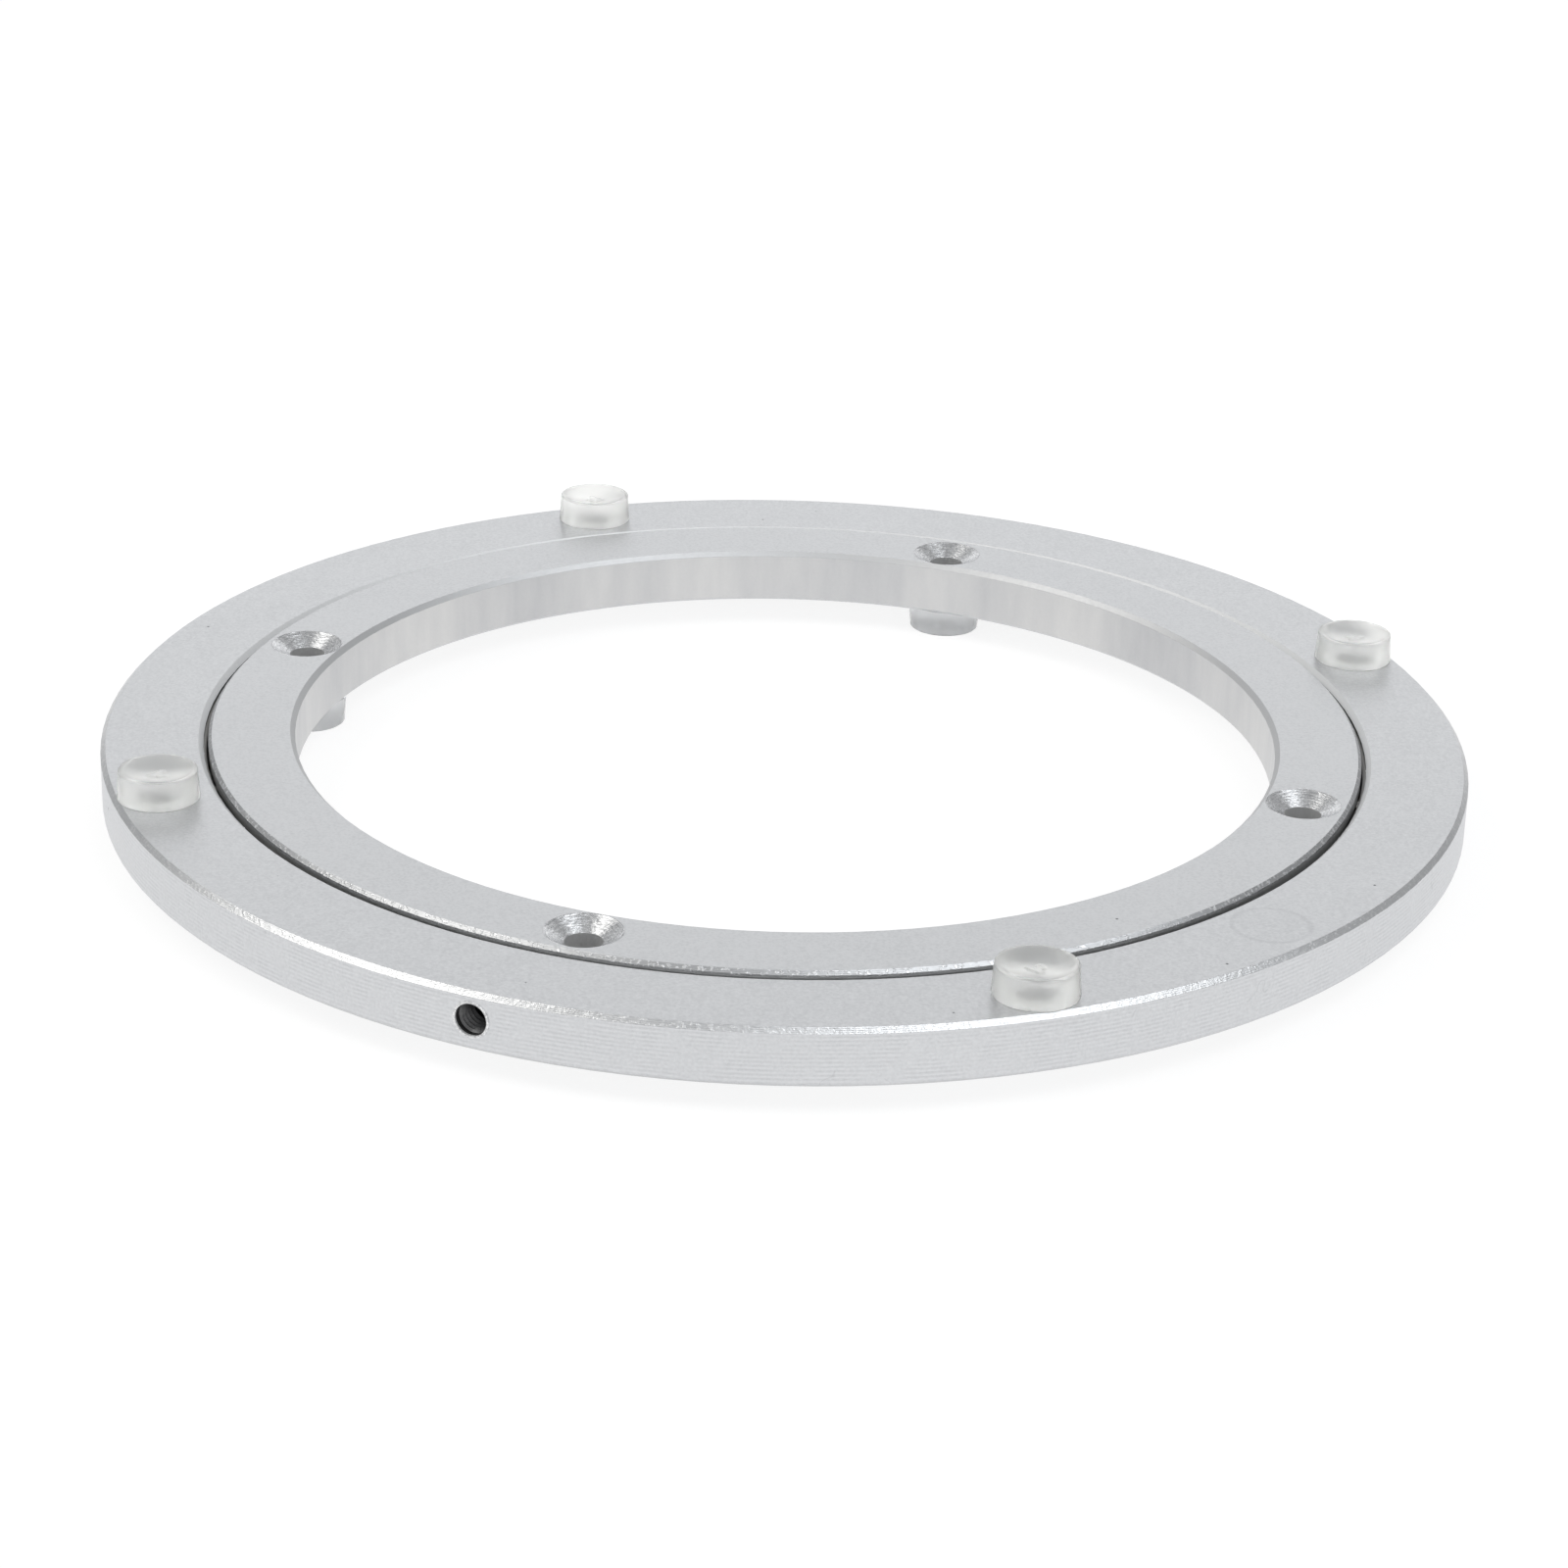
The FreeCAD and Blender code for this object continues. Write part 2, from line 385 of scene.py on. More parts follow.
# The bevels, the wall of the gap and the side, as masks; each of them fades over
# a few hundredths of a millimetre, so that no edge is hard.
bevel_foot = outer_face - edge_bevel
rim_start = outer_radius - edge_bevel
seam_end = seam_edge + edge_bevel
near_top = fade(tree, spot["Height"], bevel_foot - bevel_soft_out, bevel_foot + bevel_soft_in)
below = opposite(tree, near_top)
rim = fade(tree, spot["Radius"], rim_start - bevel_soft_out, rim_start + bevel_soft_in)
rim = product(tree, near_top, rim)
seam = fade(tree, spot["Radius"], seam_end + bevel_soft_out, seam_end - bevel_soft_in)
seam = product(tree, near_top, seam)
gap_wall = fade(tree, spot["Radius"], seam_edge + gap_wall_none, seam_edge + gap_wall_all)
gap_wall = product(tree, gap_wall, below)
side = fade(tree, spot["Radius"], outer_radius - side_none, outer_radius - side_all)
side = product(tree, side, below)
turned_parts = maths(tree, "MAXIMUM", side, rim)
lower_bevel = (outer_foot + lower_bevel_none, outer_foot + lower_bevel_all)
lower_bevel = fade(tree, spot["Height"], *lower_bevel)
glints = product(tree, specks, rim)

# Tool lines on the side, the rim and, faintly, the face.
line_values = {"Place": place, "Across": spot["Height"], "Pitch": side_line_pitch}
side_lines = product(tree, use(tree, tool_lines, line_values)["Line"], side)
line_values = {"Place": place, "Across": spot["Radius"], "Pitch": rim_line_pitch}
rim_lines = product(tree, use(tree, tool_lines, line_values)["Line"], rim)
line_values = {"Place": place, "Across": spot["Radius"], "Pitch": face_line_pitch}
face_lines = use(tree, tool_lines, line_values)["Line"]
face_lines = product(tree, face_lines, opposite(tree, turned_parts))

# A faint ring on the face, where a cup or a pad has stood.
in_mm = {0: place, 1: (to_mm, to_mm, to_mm)}
in_mm = step(tree, "VectorMath", in_mm, operation="MULTIPLY").outputs[0]
from_mark = {0: in_mm, 1: mark_at}
from_mark = step(tree, "VectorMath", from_mark, operation="DISTANCE").outputs["Value"]
mark_ring = maths(tree, "ABSOLUTE", maths(tree, "SUBTRACT", from_mark, mark_radius))
mark_ring = fade(tree, mark_ring, mark_line_none, mark_line_all)
mark_inside = fade(tree, from_mark, mark_radius + 0.2, mark_radius - 0.4)

# The wall of the loading hole, painted dark from a little way in, as grease and as painted shade;
# the last fade leaves out the far side of the ring, where the sine is the same.
beside_hole = maths(tree, "RADIANS", maths(tree, "ADD", spot["Around"], loading_hole_turn))
beside_hole = product(tree, maths(tree, "SINE", beside_hole), spot["Radius"])
above_hole = maths(tree, "SUBTRACT", spot["Height"], loading_hole_height * to_mm)
from_hole = added(tree, beside_hole, beside_hole, product(tree, above_hole, above_hole))
from_hole = maths(tree, "SQRT", from_hole)
bored = (loading_hole_edge + loading_hole_soft, loading_hole_edge - loading_hole_soft)
bored = fade(tree, from_hole, *bored)
inward = fade(tree, spot["Radius"], outer_radius - grease_shade_none, outer_radius - grease_shade_all)
bored = product(tree, bored, inward)
bored = product(tree, bored, fade(tree, spot["Around"], 0.0, -20.0))

dull = spread(tree, grain["Tone"], tone_contrast, 0.32)
dull = spread(tree, grain["Cloud"], cloud_contrast, dull)
for form, share in ((side_lines, 0.3), (face_lines, 0.05), (mark_ring, 0.5)):
    dull = added(tree, form, share, dull)
for form, share in ((mark_inside, 0.1), (rim_lines, 0.5)):
    dull = added(tree, form, share, dull)
dull = maths(tree, "SUBTRACT", dull, product(tree, turned_parts, 0.3))
turned = added(tree, side_lines, 0.4, spread(tree, grain["Tone"], 1.4, 0.35))
turned = tint(tree, turned, turned_silver, turned_shade)
colour = tint(tree, dull, silver, silver_dull)
colour = tint(tree, side, colour, turned)
colour = tint(tree, product(tree, lower_bevel, 0.6), colour, silver_dull)
# The specks on the outer bevel, and the whole bevel at the seam, are lightened as painted
# highlights.
colour = tint(tree, product(tree, glints, 0.6), colour, painted_highlight_silver)
colour = tint(tree, seam, colour, painted_highlight_silver)
# The wall of the gap and the wall of the loading hole are painted dark, as grease and as painted
# shade.
colour = tint(tree, gap_wall, colour, grease_and_painted_shade)
colour = tint(tree, bored, colour, grease_and_painted_shade)
dark = added(tree, product(tree, marks["Scratches"], side), 0.12, marks["Pits"])
colour = tint(tree, dark, colour, pit_grey)
rough = added(tree, grain["Tone"], grain_roughness, 0.3)
for form, share in ((rim, -0.06), (seam, 0.24), (side, 0.14)):
    rough = added(tree, form, share, rough)
height = product(tree, grain["Relief"], added(tree, rim, 0.04, grain_relief))
raised = ((side_lines, 0.014), (rim_lines, line_relief), (glints, 0.016), (dark, pit_relief))
for form, share in raised:
    height = added(tree, form, share, height)
feed(tree, skin.inputs, {"Base Color": colour, "Roughness": rough, "Normal": relief(tree, height)})
wear("outer_ring", outer_silver)


# Inner ring, which is screwed to the stand below.
# The same blasted, anodised aluminium; its four screw holes were countersunk
# after that with a chattering tool, so their cones glitter bare and bright.
screw_hole_angle = 70.8
screw_hole_pitch_radius = 78.13
countersink_radius = 5.35
screw_hole_radius = 2.6
inner_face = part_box("inner_ring")[1][2] * to_mm
bore_radius = 72.0
inner_edge = 84.55
lip_end = bore_radius + 0.7
inner_seam_start = inner_edge - 0.5
seam_line_pitch = 0.17
dark_from, dark_all = 0.9, 1.6
chatter_out, chatter_round = 3.6, 5.5
arcs_out, arcs_round = 8.0, 2.0
streaks_round, streaks_up = 0.42, 0.07
bands_round = 0.045
bands_contrast, bands_least = 1.8, -0.4
# Bright cut metal in the countersinks, also the colour of the painted glints on the inner seam
# bevel.
bright_cut_and_painted_glint = (0.8, 0.805, 0.815, 1.0)
cut_grey = (0.47, 0.475, 0.485, 1.0)
drilled_silver = (0.6, 0.6, 0.6, 1.0)
bevel_silver = (0.45, 0.456, 0.465, 1.0)
lip_silver = (0.6, 0.605, 0.612, 1.0)
bore_silver = (0.79, 0.786, 0.778, 1.0)
bore_shade = (0.585, 0.59, 0.605, 1.0)
inner_silver, tree, skin, place = new_finish("anodised_aluminium_drilled")
skin.inputs["Metallic"].default_value = 1.0
spot = use(tree, turned_place, {"Place": place})
grain = use(tree, blasted_grain, {"Place": place, "Grain Size": ring_grain_size})
marks = use(tree, handling_marks, {"Place": place, "Pit Spacing": 5.0, "Scratch Share": 0.35})
specks = use(tree, specks_and_painted_glints, {"Place": place})["Specks"]
hole = use(
    tree,
    nearest_of_four,
    {
        "Radius": spot["Radius"],
        "Around": spot["Around"],
        "First Angle": screw_hole_angle,
        "Pitch Radius": screw_hole_pitch_radius,
    },
)

# The countersinks and their drilled ends, the bevels and the walls, as masks.
cone = fade(tree, hole["Distance"], countersink_radius + 0.06, countersink_radius - 0.02)
drilled = fade(tree, hole["Distance"], screw_hole_radius + 0.06, screw_hole_radius + 0.01)
chattered = maths(tree, "SUBTRACT", cone, drilled)
bevel_foot = inner_face - edge_bevel
near_top = fade(tree, spot["Height"], bevel_foot - bevel_soft_out, bevel_foot + bevel_soft_in)
seam = fade(
    tree, spot["Radius"], inner_seam_start - bevel_soft_out, inner_seam_start + bevel_soft_in
)
seam = product(tree, near_top, seam)
lip = fade(tree, spot["Radius"], lip_end + bevel_soft_out, lip_end - bevel_soft_in)
lip = product(tree, near_top, lip)
wall = fade(tree, spot["Radius"], bore_radius + 0.06, bore_radius + 0.02)
deep = fade(tree, spot["Height"], inner_face - dark_from, inner_face - dark_all)
gap_wall = fade(tree, spot["Radius"], inner_edge - gap_wall_none, inner_edge - gap_wall_all)
gap_wall = product(tree, gap_wall, deep)
glints = product(tree, specks, seam)
line_values = {"Place": place, "Across": spot["Radius"], "Pitch": seam_line_pitch}
seam_lines = product(tree, use(tree, tool_lines, line_values)["Line"], seam)

# Chatter and arcs in the countersinks, and streaks and broad bands in the bore.
outward = product(tree, hole["Distance"], chatter_out)
swung = product(tree, hole["Swing"], chatter_round)
chatter = noise(tree, point(tree, outward, swung, hole["Which"]), 1.0, 4.0)
outward = product(tree, hole["Distance"], arcs_out)
swung = product(tree, hole["Swing"], arcs_round)
arcs = noise(tree, point(tree, outward, swung, hole["Which"]), 1.0)
along_bore = product(tree, spot["Around"], streaks_round)
up_bore = product(tree, spot["Height"], streaks_up)
streaks = noise(tree, point(tree, along_bore, up_bore), 1.0, 4.0)
bands = noise(tree, point(tree, product(tree, spot["Around"], bands_round)), 1.0, 1.0)
bands = added(tree, bands, bands_contrast, bands_least)

dull = spread(tree, grain["Tone"], tone_contrast, 0.12)
dull = spread(tree, grain["Cloud"], cloud_contrast, dull)
cut = spread(tree, chatter, 2.6, 0.4)
cut = tint(tree, spread(tree, arcs, 1.4, cut), bright_cut_and_painted_glint, cut_grey)
bored = tint(tree, spread(tree, streaks, 0.7, bands), bore_silver, bore_shade)
bevelled = tint(tree, added(tree, seam_lines, 0.45, 0.2), bevel_silver, silver_dull)
# The specks lighten the inner seam bevel as painted glints.
bevelled = tint(tree, product(tree, specks, 0.75), bevelled, bright_cut_and_painted_glint)
colour = tint(tree, dull, silver, silver_dull)
colour = tint(tree, wall, colour, bored)
colour = tint(tree, seam, colour, bevelled)
colour = tint(tree, lip, colour, lip_silver)
colour = tint(tree, cone, colour, cut)
colour = tint(tree, drilled, colour, drilled_silver)
# Deep in the gap the wall is darkened a little, as grease and as painted shade between the rings.
colour = tint(tree, product(tree, gap_wall, 0.3), colour, grease_and_painted_shade)
dark = product(tree, marks["Pits"], opposite(tree, cone))
colour = tint(tree, dark, colour, pit_grey)
rough = added(tree, grain["Tone"], grain_roughness, 0.33)
for form, share in ((seam, -0.1), (lip, 0.08), (cone, -0.14), (drilled, 0.5), (wall, 0.12)):
    rough = added(tree, form, share, rough)
grit = added(tree, cone, 0.04, added(tree, seam, 0.022, grain_relief))
height = product(tree, grain["Relief"], grit)
chatter_height = added(tree, arcs, 0.03, product(tree, chatter, 0.05))
height = maths(tree, "ADD", height, product(tree, chatter_height, chattered))
for form, share in ((seam_lines, line_relief), (glints, 0.035), (dark, pit_relief)):
    height = added(tree, form, share, height)
feed(tree, skin.inputs, {"Base Color": colour, "Roughness": rough, "Normal": relief(tree, height)})
wear("inner_ring", inner_silver)


# Retainer strip, which keeps the balls apart in the race.
# A split band of natural nylon, snapped into its channel in the outer ring; it
# lies too deep in the gap for the light from above to reach it.
nylon_pale = (0.5, 0.495, 0.48, 1.0)
nylon_shade = (0.36, 0.355, 0.34, 1.0)
retainer_nylon, tree, skin, place = new_finish("retainer_nylon")
skin.inputs["IOR"].default_value = 1.53
grain = use(tree, blasted_grain, {"Place": place, "Grain Size": 0.9})
colour = tint(tree, added(tree, grain["Cloud"], 0.8, -0.05), nylon_pale, nylon_shade)
rough = added(tree, grain["Tone"], 0.2, 0.38)
height = product(tree, grain["Relief"], 0.02)
feed(tree, skin.inputs, {"Base Color": colour, "Roughness": rough, "Normal": relief(tree, height)})
wear("retainer", retainer_nylon)


# Balls.
# Hardened chrome steel, ground and lapped; a film of grease dulls them in
# patches where they roll in the race.
steel_bright = (0.62, 0.615, 0.6, 1.0)
steel_greasy = (0.44, 0.43, 0.4, 1.0)
film_size = 0.0022
ball_steel, tree, skin, place = new_finish("ball_steel")
skin.inputs["Metallic"].default_value = 1.0
grain = use(tree, blasted_grain, {"Place": place, "Grain Size": 0.5})
film = fade(tree, noise(tree, place, film_size), 0.42, 0.62)
colour = tint(tree, film, steel_bright, steel_greasy)
rough = added(tree, grain["Tone"], 0.05, added(tree, film, 0.2, 0.09))
feed(tree, skin.inputs, {"Base Color": colour, "Roughness": rough})
for name in nodes:
    if name.startswith("ball_"):
        wear(name, ball_steel)


# Grease in the race.
# Amber grease packed round the balls; a little of it has been squeezed into the
# gap below the retainer, where it shuts out the light from under the bearing.
grease_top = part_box("retainer")[0][2] - 0.0003
grease_foot = grease_top - 0.0004
grease_inner = 0.08457
grease_outer = 0.08523
grease_steps = 240
grease_amber = (0.24, 0.2, 0.13, 1.0)
grease_shade = (0.13, 0.11, 0.075, 1.0)
bead = bmesh.new()
corners = [
    bead.verts.new((grease_inner, 0.0, grease_foot)),
    bead.verts.new((grease_outer, 0.0, grease_foot)),
    bead.verts.new((grease_outer, 0.0, grease_top)),
    bead.verts.new((grease_inner, 0.0, grease_top)),
]
joined = [bead.edges.new((corners[number - 1], corners[number])) for number in range(4)]
bmesh.ops.spin(
    bead,
    geom=corners + joined,
    cent=(0, 0, 0),
    axis=(0, 0, 1),
    angle=math.tau,
    steps=grease_steps,
    use_merge=True,
)
bmesh.ops.recalc_face_normals(bead, faces=bead.faces[:])
amber_grease, tree, skin, place = new_finish("amber_grease")
skin.inputs["IOR"].default_value = 1.47
grain = use(tree, blasted_grain, {"Place": place, "Grain Size": 0.7})
colour = tint(tree, grain["Cloud"], grease_amber, grease_shade)
rough = added(tree, grain["Tone"], 0.2, 0.25)
feed(tree, skin.inputs, {"Base Color": colour, "Roughness": rough})
race_grease = new_piece("race_grease", bead, amber_grease)
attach(race_grease, "base")


# Loading plug, which closes the hole that the balls went in through.
# A socket set screw of blackened steel, turned in below the surface of the
# side; its threads and socket keep a trace of oil.
black_steel = (0.05, 0.05, 0.053, 1.0)
rubbed_steel = (0.15, 0.15, 0.154, 1.0)
plug_steel, tree, skin, place = new_finish("plug_steel")
skin.inputs["Metallic"].default_value = 0.85
grain = use(tree, blasted_grain, {"Place": place, "Grain Size": 0.4})
colour = tint(tree, fade(tree, grain["Tone"], 0.48, 0.7), black_steel, rubbed_steel)
rough = added(tree, grain["Tone"], 0.3, 0.24)
height = product(tree, grain["Relief"], 0.03)
feed(tree, skin.inputs, {"Base Color": colour, "Roughness": rough, "Normal": relief(tree, height)})
wear("loading_plug", plug_steel)


# Mouth of the loading hole.
# The hole is tapped for the plug, so turns of thread show inside, and drilling
# raised a thin burr round it; flecks of that metal cling to the seam's edge. The burr and the
# flecks are coloured near white, a painted highlight on their metal.
hole_angle = math.radians(-loading_hole_turn)
hole_axis = Vector((math.cos(hole_angle), math.sin(hole_angle), 0.0))
hole_radius = 0.0023
up = Vector((0.0, 0.0, 1.0))
thread_start = hole_axis * 0.0951 + up * loading_hole_height
thread_pitch = 0.0008
thread_root = up * (hole_radius + 0.00003)
thread_crest = up * (hole_radius - 0.0003)
thread_flank = hole_axis * thread_pitch * 0.42
thread_steps = 40
thread_turns = 5
turning = bmesh.new()
ridge = [
    turning.verts.new(thread_start + thread_root - thread_flank),
    turning.verts.new(thread_start + thread_crest),
    turning.verts.new(thread_start + thread_root + thread_flank),
]
turning.faces.new(ridge)
bmesh.ops.spin(
    turning,
    geom=turning.faces[:] + turning.edges[:] + turning.verts[:],
    cent=thread_start,
    axis=hole_axis,
    dvec=hole_axis * thread_pitch / thread_steps,
    angle=math.tau * thread_turns,
    steps=thread_steps * thread_turns,
)

burr_start = hole_axis * 0.09997 + up * loading_hole_height
burr_thickness = 0.0002
burr_ring_radius = hole_radius + 0.00014
burr_steps = 64
facing_out = hole_axis.to_track_quat("Z", "Y").to_matrix().to_4x4()
burr_lie = Matrix.Translation(burr_start) @ facing_out
upright = Matrix.Rotation(math.pi / 2, 3, "X")
burr = bmesh.ops.create_circle(turning, segments=6, radius=burr_thickness)["verts"]
bmesh.ops.rotate(turning, verts=burr, cent=(0, 0, 0), matrix=upright)
bmesh.ops.translate(turning, verts=burr, vec=(burr_ring_radius, 0.0, 0.0))
bmesh.ops.transform(turning, verts=burr, matrix=burr_lie)
burr_edges = [edge for edge in turning.edges if set(edge.verts) <= set(burr)]
bmesh.ops.spin(
    turning,
    geom=burr + burr_edges,
    cent=burr_lie.translation,
    axis=hole_axis,
    angle=math.tau,
    steps=burr_steps,
    use_merge=True,
)

# Flecks, each with its angle in degrees and its size in millimetres; they lie
# flat against the edge of the seam.
flecks = ((-169.4, 0.22), (-137.5, 0.26), (-151.0, 0.12), (-7.0, 0.16), (14.0, 0.2), (-24.0, 0.12))
fleck_place = Matrix.Translation((0.08522, 0.0, outer_top - 0.00072))
for fleck_angle, fleck_size in flecks:
    lie = Matrix.Rotation(math.radians(fleck_angle), 4, "Z") @ fleck_place
    size = Matrix.Diagonal((fleck_size / 2000, fleck_size / 1000, fleck_size / 1300, 1.0))
    bmesh.ops.create_icosphere(turning, subdivisions=1, radius=1.0, matrix=lie @ size)
bmesh.ops.recalc_face_normals(turning, faces=turning.faces[:])

# Near white: the burr's metal with a painted highlight.
burr_painted_highlight = (0.98, 0.98, 0.98, 1.0)
burr_grey = (0.66, 0.66, 0.67, 1.0)
burr_metal, tree, skin, place = new_finish("raised_burr")
skin.inputs["Metallic"].default_value = 0.4
grain = use(tree, blasted_grain, {"Place": place, "Grain Size": 0.3})
spot = use(tree, turned_place, {"Place": place})
colour = tint(tree, fade(tree, grain["Tone"], 0.42, 0.62), burr_painted_highlight, burr_grey)
# Inside the hole the thread is darkened, as grease and as painted shade.
inside = fade(tree, spot["Radius"], outer_radius - 0.2, outer_radius - 0.4)
inside = product(tree, inside, fade(tree, spot["Radius"], 89.0, 90.0))
colour = tint(tree, product(tree, inside, 0.92), colour, grease_and_painted_shade)
rough = added(tree, grain["Tone"], 0.2, 0.2)
feed(tree, skin.inputs, {"Base Color": colour, "Roughness": rough})
thread_and_burrs = new_piece("thread_and_burrs", turning, burr_metal)
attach(thread_and_burrs, "turntable")


# Pads on the outer ring.
# Clear, milky soft plastic, moulded with a dish and an uneven gate mark and stuck
# on with white glue; the hollow in the glued end is painted grey as painted shade.
pad_angle = 20.6
pad_pitch_radius = 93.65
base_radius = 0.00585
top_radius = 0.00555
pad_height = 0.0042
rim_width = 0.00055
rim_round = 0.00014
dish_depth = 0.001
hollow_radius = 0.0031
hollow_depth = 0.0011
opens_up, opens_down = 1, -1
dish_steps, hollow_steps, round_steps = 20, 7, 88
joined_under = 0.000002
rounded_over, smooth_under = 0.5, 0.6
gate_size = 0.00125
gate_height = 0.00018
gate_slope = 0.00025
gate_reach = 0.0024
gate_corners, corner_share = 3, 0.3
gate_ripples, ripple_share = 5, 0.12
glue_film = 0.00003
film_radius = base_radius - 0.0001
pad_clear = (1.0, 1.0, 0.99, 1.0)
pad_milky = (0.98, 0.982, 0.965, 1.0)
milk_size = 0.0032
hollow_painted_shade = (0.42, 0.425, 0.43, 1.0)
film_white = (0.97, 0.97, 0.96, 1.0)
film_shade = (0.9, 0.9, 0.89, 1.0)


def four_round(first_angle, pitch_radius, height):
    out_there = Matrix.Translation((pitch_radius / to_mm, 0.0, height))
    angles = [math.radians(first_angle + quarter_turn * number) for number in range(4)]
    return [Matrix.Rotation(angle, 4, "Z") @ out_there for angle in angles]


# Half the section of a shallow round cap, from its pole to its rim.
def cap_line(mesh, radius, depth, pole, opens, steps):
    ball = (radius**2 + depth**2) / (2 * depth)
    start = mesh.verts.new((0.0, 0.0, pole))
    centre = (0.0, 0.0, pole + opens * ball)
    turn = -opens * math.asin(radius / ball)
    bmesh.ops.spin(mesh, geom=[start], cent=centre, axis=(0, 1, 0), angle=turn, steps=steps)


def moulded_pad(name, lie, body, material):
    pad = bmesh.new()
    dish_radius = top_radius - rim_width
    cap_line(pad, dish_radius, dish_depth, pad_height - dish_depth, opens_up, dish_steps)
    dish_rim = max(pad.verts, key=lambda vert: vert.co.x)
    cap_line(pad, hollow_radius, hollow_depth, hollow_depth, opens_down, hollow_steps)
    hollow_rim = min(pad.verts, key=lambda vert: (round(vert.co.z, 6), -vert.co.x))
    rim = pad.verts.new((top_radius, 0.0, pad_height))
    base = pad.verts.new((base_radius, 0.0, 0.0))
    pad.edges.new((dish_rim, rim))
    pad.edges.new((rim, base))
    pad.edges.new((base, hollow_rim))
    bmesh.ops.spin(
        pad,
        geom=pad.verts[:] + pad.edges[:],
        cent=(0, 0, 0),
        axis=(0, 0, 1),
        angle=math.tau,
        steps=round_steps,
        use_merge=True,
    )
    bmesh.ops.remove_doubles(pad, verts=pad.verts[:], dist=joined_under)
    bmesh.ops.recalc_face_normals(pad, faces=pad.faces[:])
    sharp = [edge for edge in pad.edges if edge.calc_face_angle(0.0) > rounded_over]
    bmesh.ops.bevel(
        pad, geom=sharp, offset=rim_round, affect="EDGES", segments=3, profile=0.5, material=-1
    )
    for vert in pad.verts:
        from_middle = vert.co.xy.length
        if vert.co.z > hollow_depth + 0.001 and from_middle < gate_reach:
            bearing = math.atan2(vert.co.y, vert.co.x)
            cornered = corner_share * math.cos(gate_corners * bearing)
            rippled = ripple_share * math.sin(gate_ripples * bearing + 1)
            edge_of_gate = gate_size * (1 + cornered + rippled)
            within = (edge_of_gate - from_middle) / gate_slope
            vert.co.z += gate_height * min(1.0, max(0.0, within))
    for face in pad.faces:
        face.smooth = True
    for edge in pad.edges:
        edge.smooth = edge.calc_face_angle(0.0) < smooth_under
    for vert in pad.verts:
        vert.co.z = glue_film + vert.co.z * (pad_height - 2 * glue_film) / pad_height
    bmesh.ops.transform(pad, verts=pad.verts[:], matrix=lie)
    piece = new_piece(name, pad, material)
    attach(piece, body)
    return piece


# The hollow moulded into the glued end, as a mask.
glued_hollow, given, out = effect(
    "hollow_in_glued_end",
    {
        "Place": "Vector",
        "First Angle": "Float",
        "Pitch Radius": "Float",
        "Glued At": "Float",
        "Away": "Float",
    },
    ("Hollow",),
)
spot = use(glued_hollow, turned_place, {"Place": given["Place"]})
own = use(
    glued_hollow,
    nearest_of_four,
    {
        "Radius": spot["Radius"],
        "Around": spot["Around"],
        "First Angle": given["First Angle"],
        "Pitch Radius": given["Pitch Radius"],
    },
)
from_glue = maths(glued_hollow, "SUBTRACT", spot["Height"], given["Glued At"])
from_glue = product(glued_hollow, from_glue, given["Away"])
hollow = fade(glued_hollow, own["Distance"], 3.0, 2.2)
hollow = product(glued_hollow, hollow, fade(glued_hollow, from_glue, 1.4, 1.2))
feed(glued_hollow, out, {"Hollow": hollow})


def soft_plastic(name, clear, milky, glued):
    material, tree, skin, place = new_finish(name)
    skin.inputs["IOR"].default_value = 1.27
    skin.inputs["Coat Weight"].default_value = 1.0
    skin.inputs["Coat Roughness"].default_value = 0.11
    skin.inputs["Transmission Weight"].default_value = 1.0
    hollow = use(tree, glued_hollow, {"Place": place, **glued})["Hollow"]
    grain = use(tree, blasted_grain, {"Place": place, "Grain Size": 0.6})
    milk = noise(tree, place, milk_size)
    # The surface of the hollow is painted grey as painted shade.
    colour = tint(tree, hollow, tint(tree, milk, clear, milky), hollow_painted_shade)
    rough = added(tree, grain["Tone"], 0.1, 0.58)
    feed(tree, skin.inputs, {"Base Color": colour, "Roughness": rough})
    return material


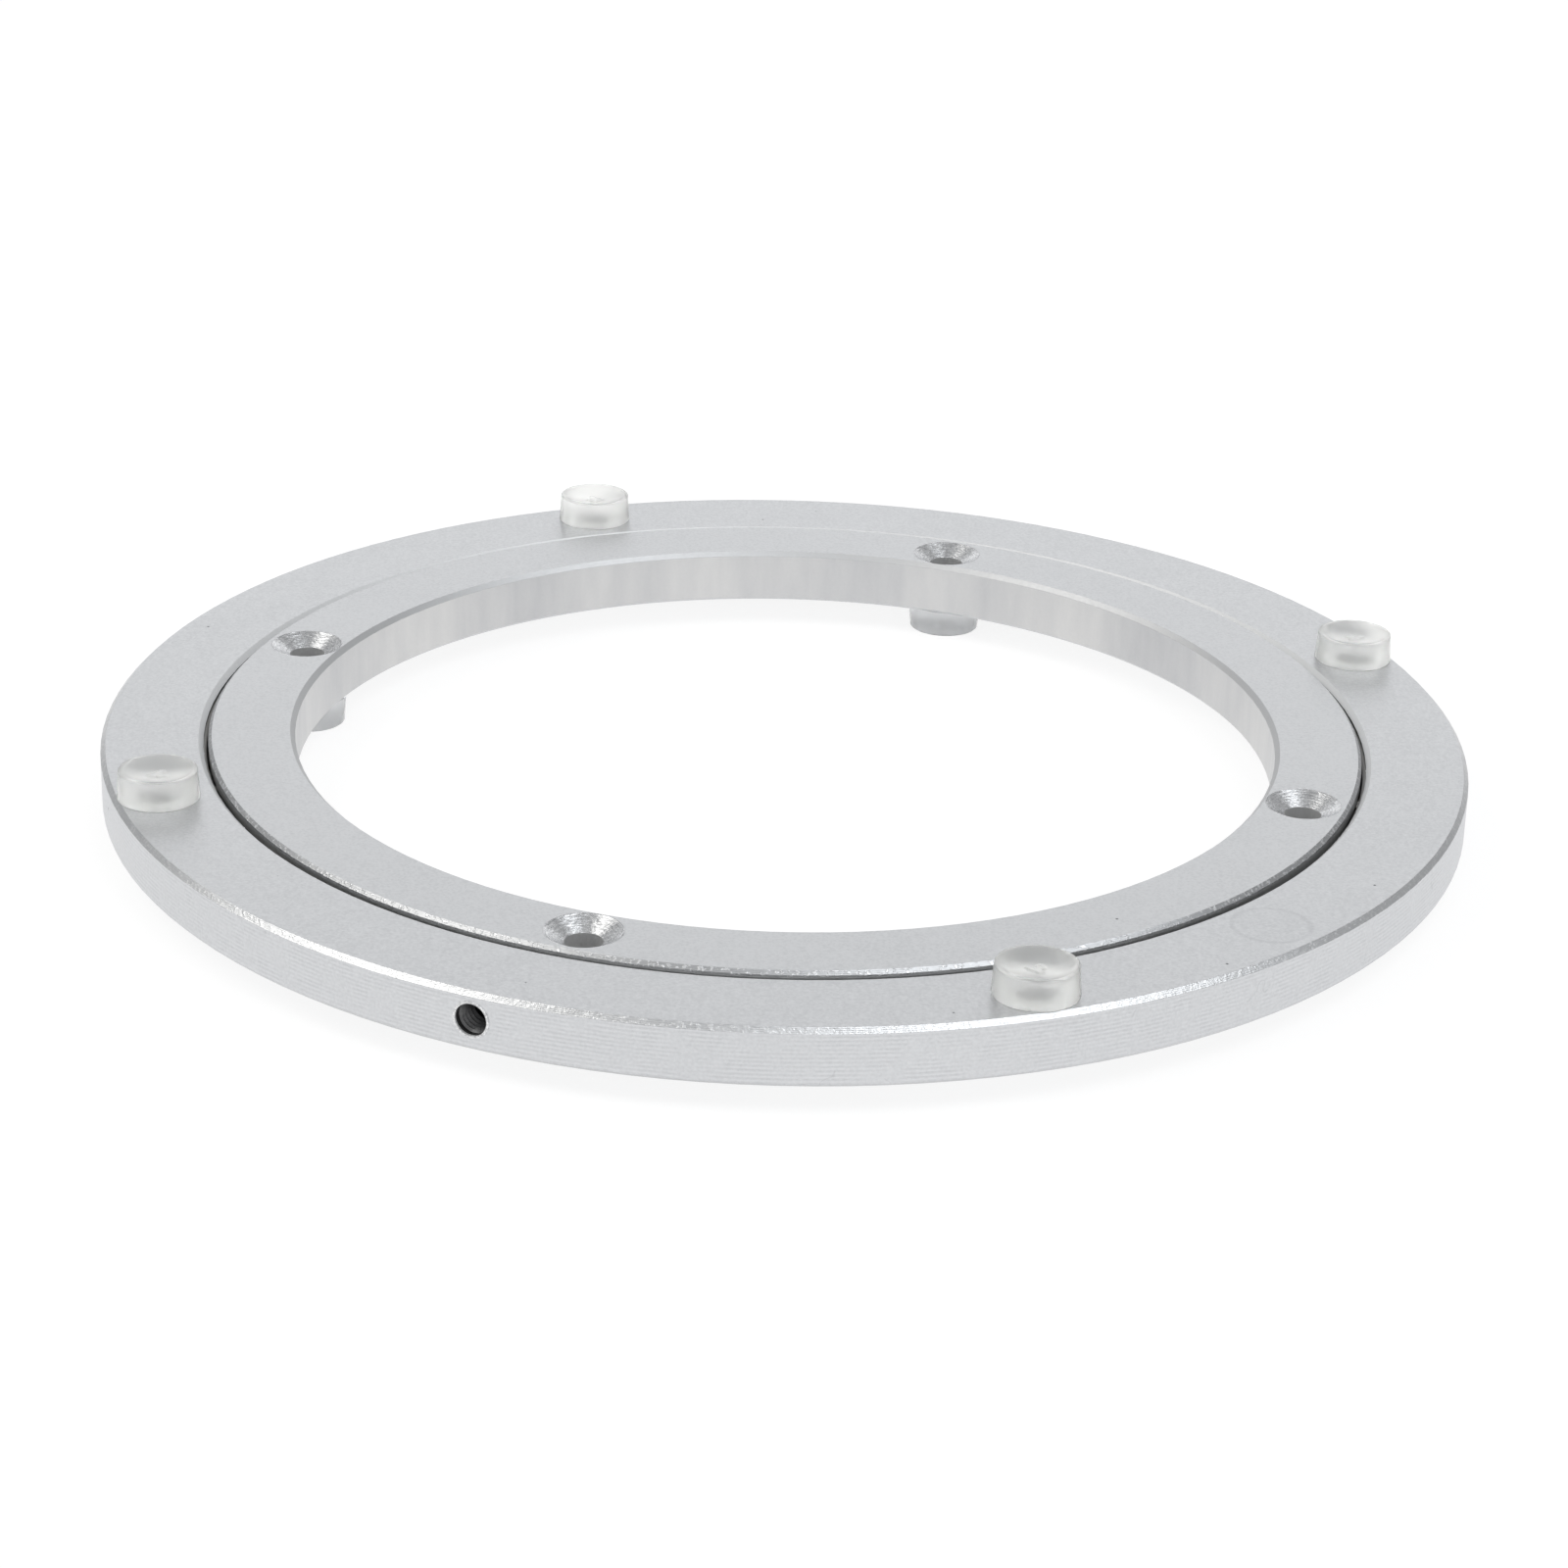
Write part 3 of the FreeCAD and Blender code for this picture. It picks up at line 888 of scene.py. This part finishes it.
glue_white, tree, skin, place = new_finish("glue_film")
grain = use(tree, blasted_grain, {"Place": place, "Grain Size": 0.8})
colour = tint(tree, grain["Cloud"], film_white, film_shade)
rough = added(tree, grain["Tone"], 0.2, 0.5)
feed(tree, skin.inputs, {"Base Color": colour, "Roughness": rough})

glued_pad = {
    "First Angle": pad_angle,
    "Pitch Radius": pad_pitch_radius,
    "Glued At": outer_face,
    "Away": 1.0,
}
clear_pad = soft_plastic("clear_pad", pad_clear, pad_milky, glued_pad)
pad_lies = four_round(pad_angle, pad_pitch_radius, outer_top)
films = bmesh.new()
for lie in pad_lies:
    bmesh.ops.create_circle(films, cap_ends=True, segments=64, radius=film_radius, matrix=lie)
bmesh.ops.translate(films, verts=films.verts[:], vec=(0.0, 0.0, glue_film / 2))
pad_glue_films = new_piece("pad_glue_films", films, glue_white)
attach(pad_glue_films, "turntable")
for number, lie in enumerate(pad_lies):
    piece = moulded_pad(f"bumper_pad_{number + 1}", lie, "turntable", clear_pad)
    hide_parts(f"pad_{number + 1}")


# Feet under the inner ring.
# The same moulded pads turned over and stuck on, one below each screw hole, so
# that the outer ring clears the table and turns freely; their plastic is painted greyer, as
# painted shade under the ring.
ring_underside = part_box("inner_ring")[0][2]
# The feet's plastic is a greyer copy of the pads', as painted shade under the ring.
foot_clear_painted_shade = (0.86, 0.87, 0.88, 1.0)
foot_milky_painted_shade = (0.8, 0.81, 0.82, 1.0)
glued_foot = {
    "First Angle": screw_hole_angle,
    "Pitch Radius": screw_hole_pitch_radius,
    "Glued At": ring_underside * to_mm,
    "Away": -1.0,
}
clear_foot_painted_shade = soft_plastic("clear_foot_painted_shade", foot_clear_painted_shade, foot_milky_painted_shade, glued_foot)
turned_over = Matrix.Rotation(math.pi, 4, "X")
foot_lies = four_round(screw_hole_angle, screw_hole_pitch_radius, ring_underside)
for number, lie in enumerate(foot_lies):
    piece = moulded_pad(f"rubber_foot_{number + 1}", lie @ turned_over, "base", clear_foot_painted_shade)
    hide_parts(f"foot_{number + 1}")
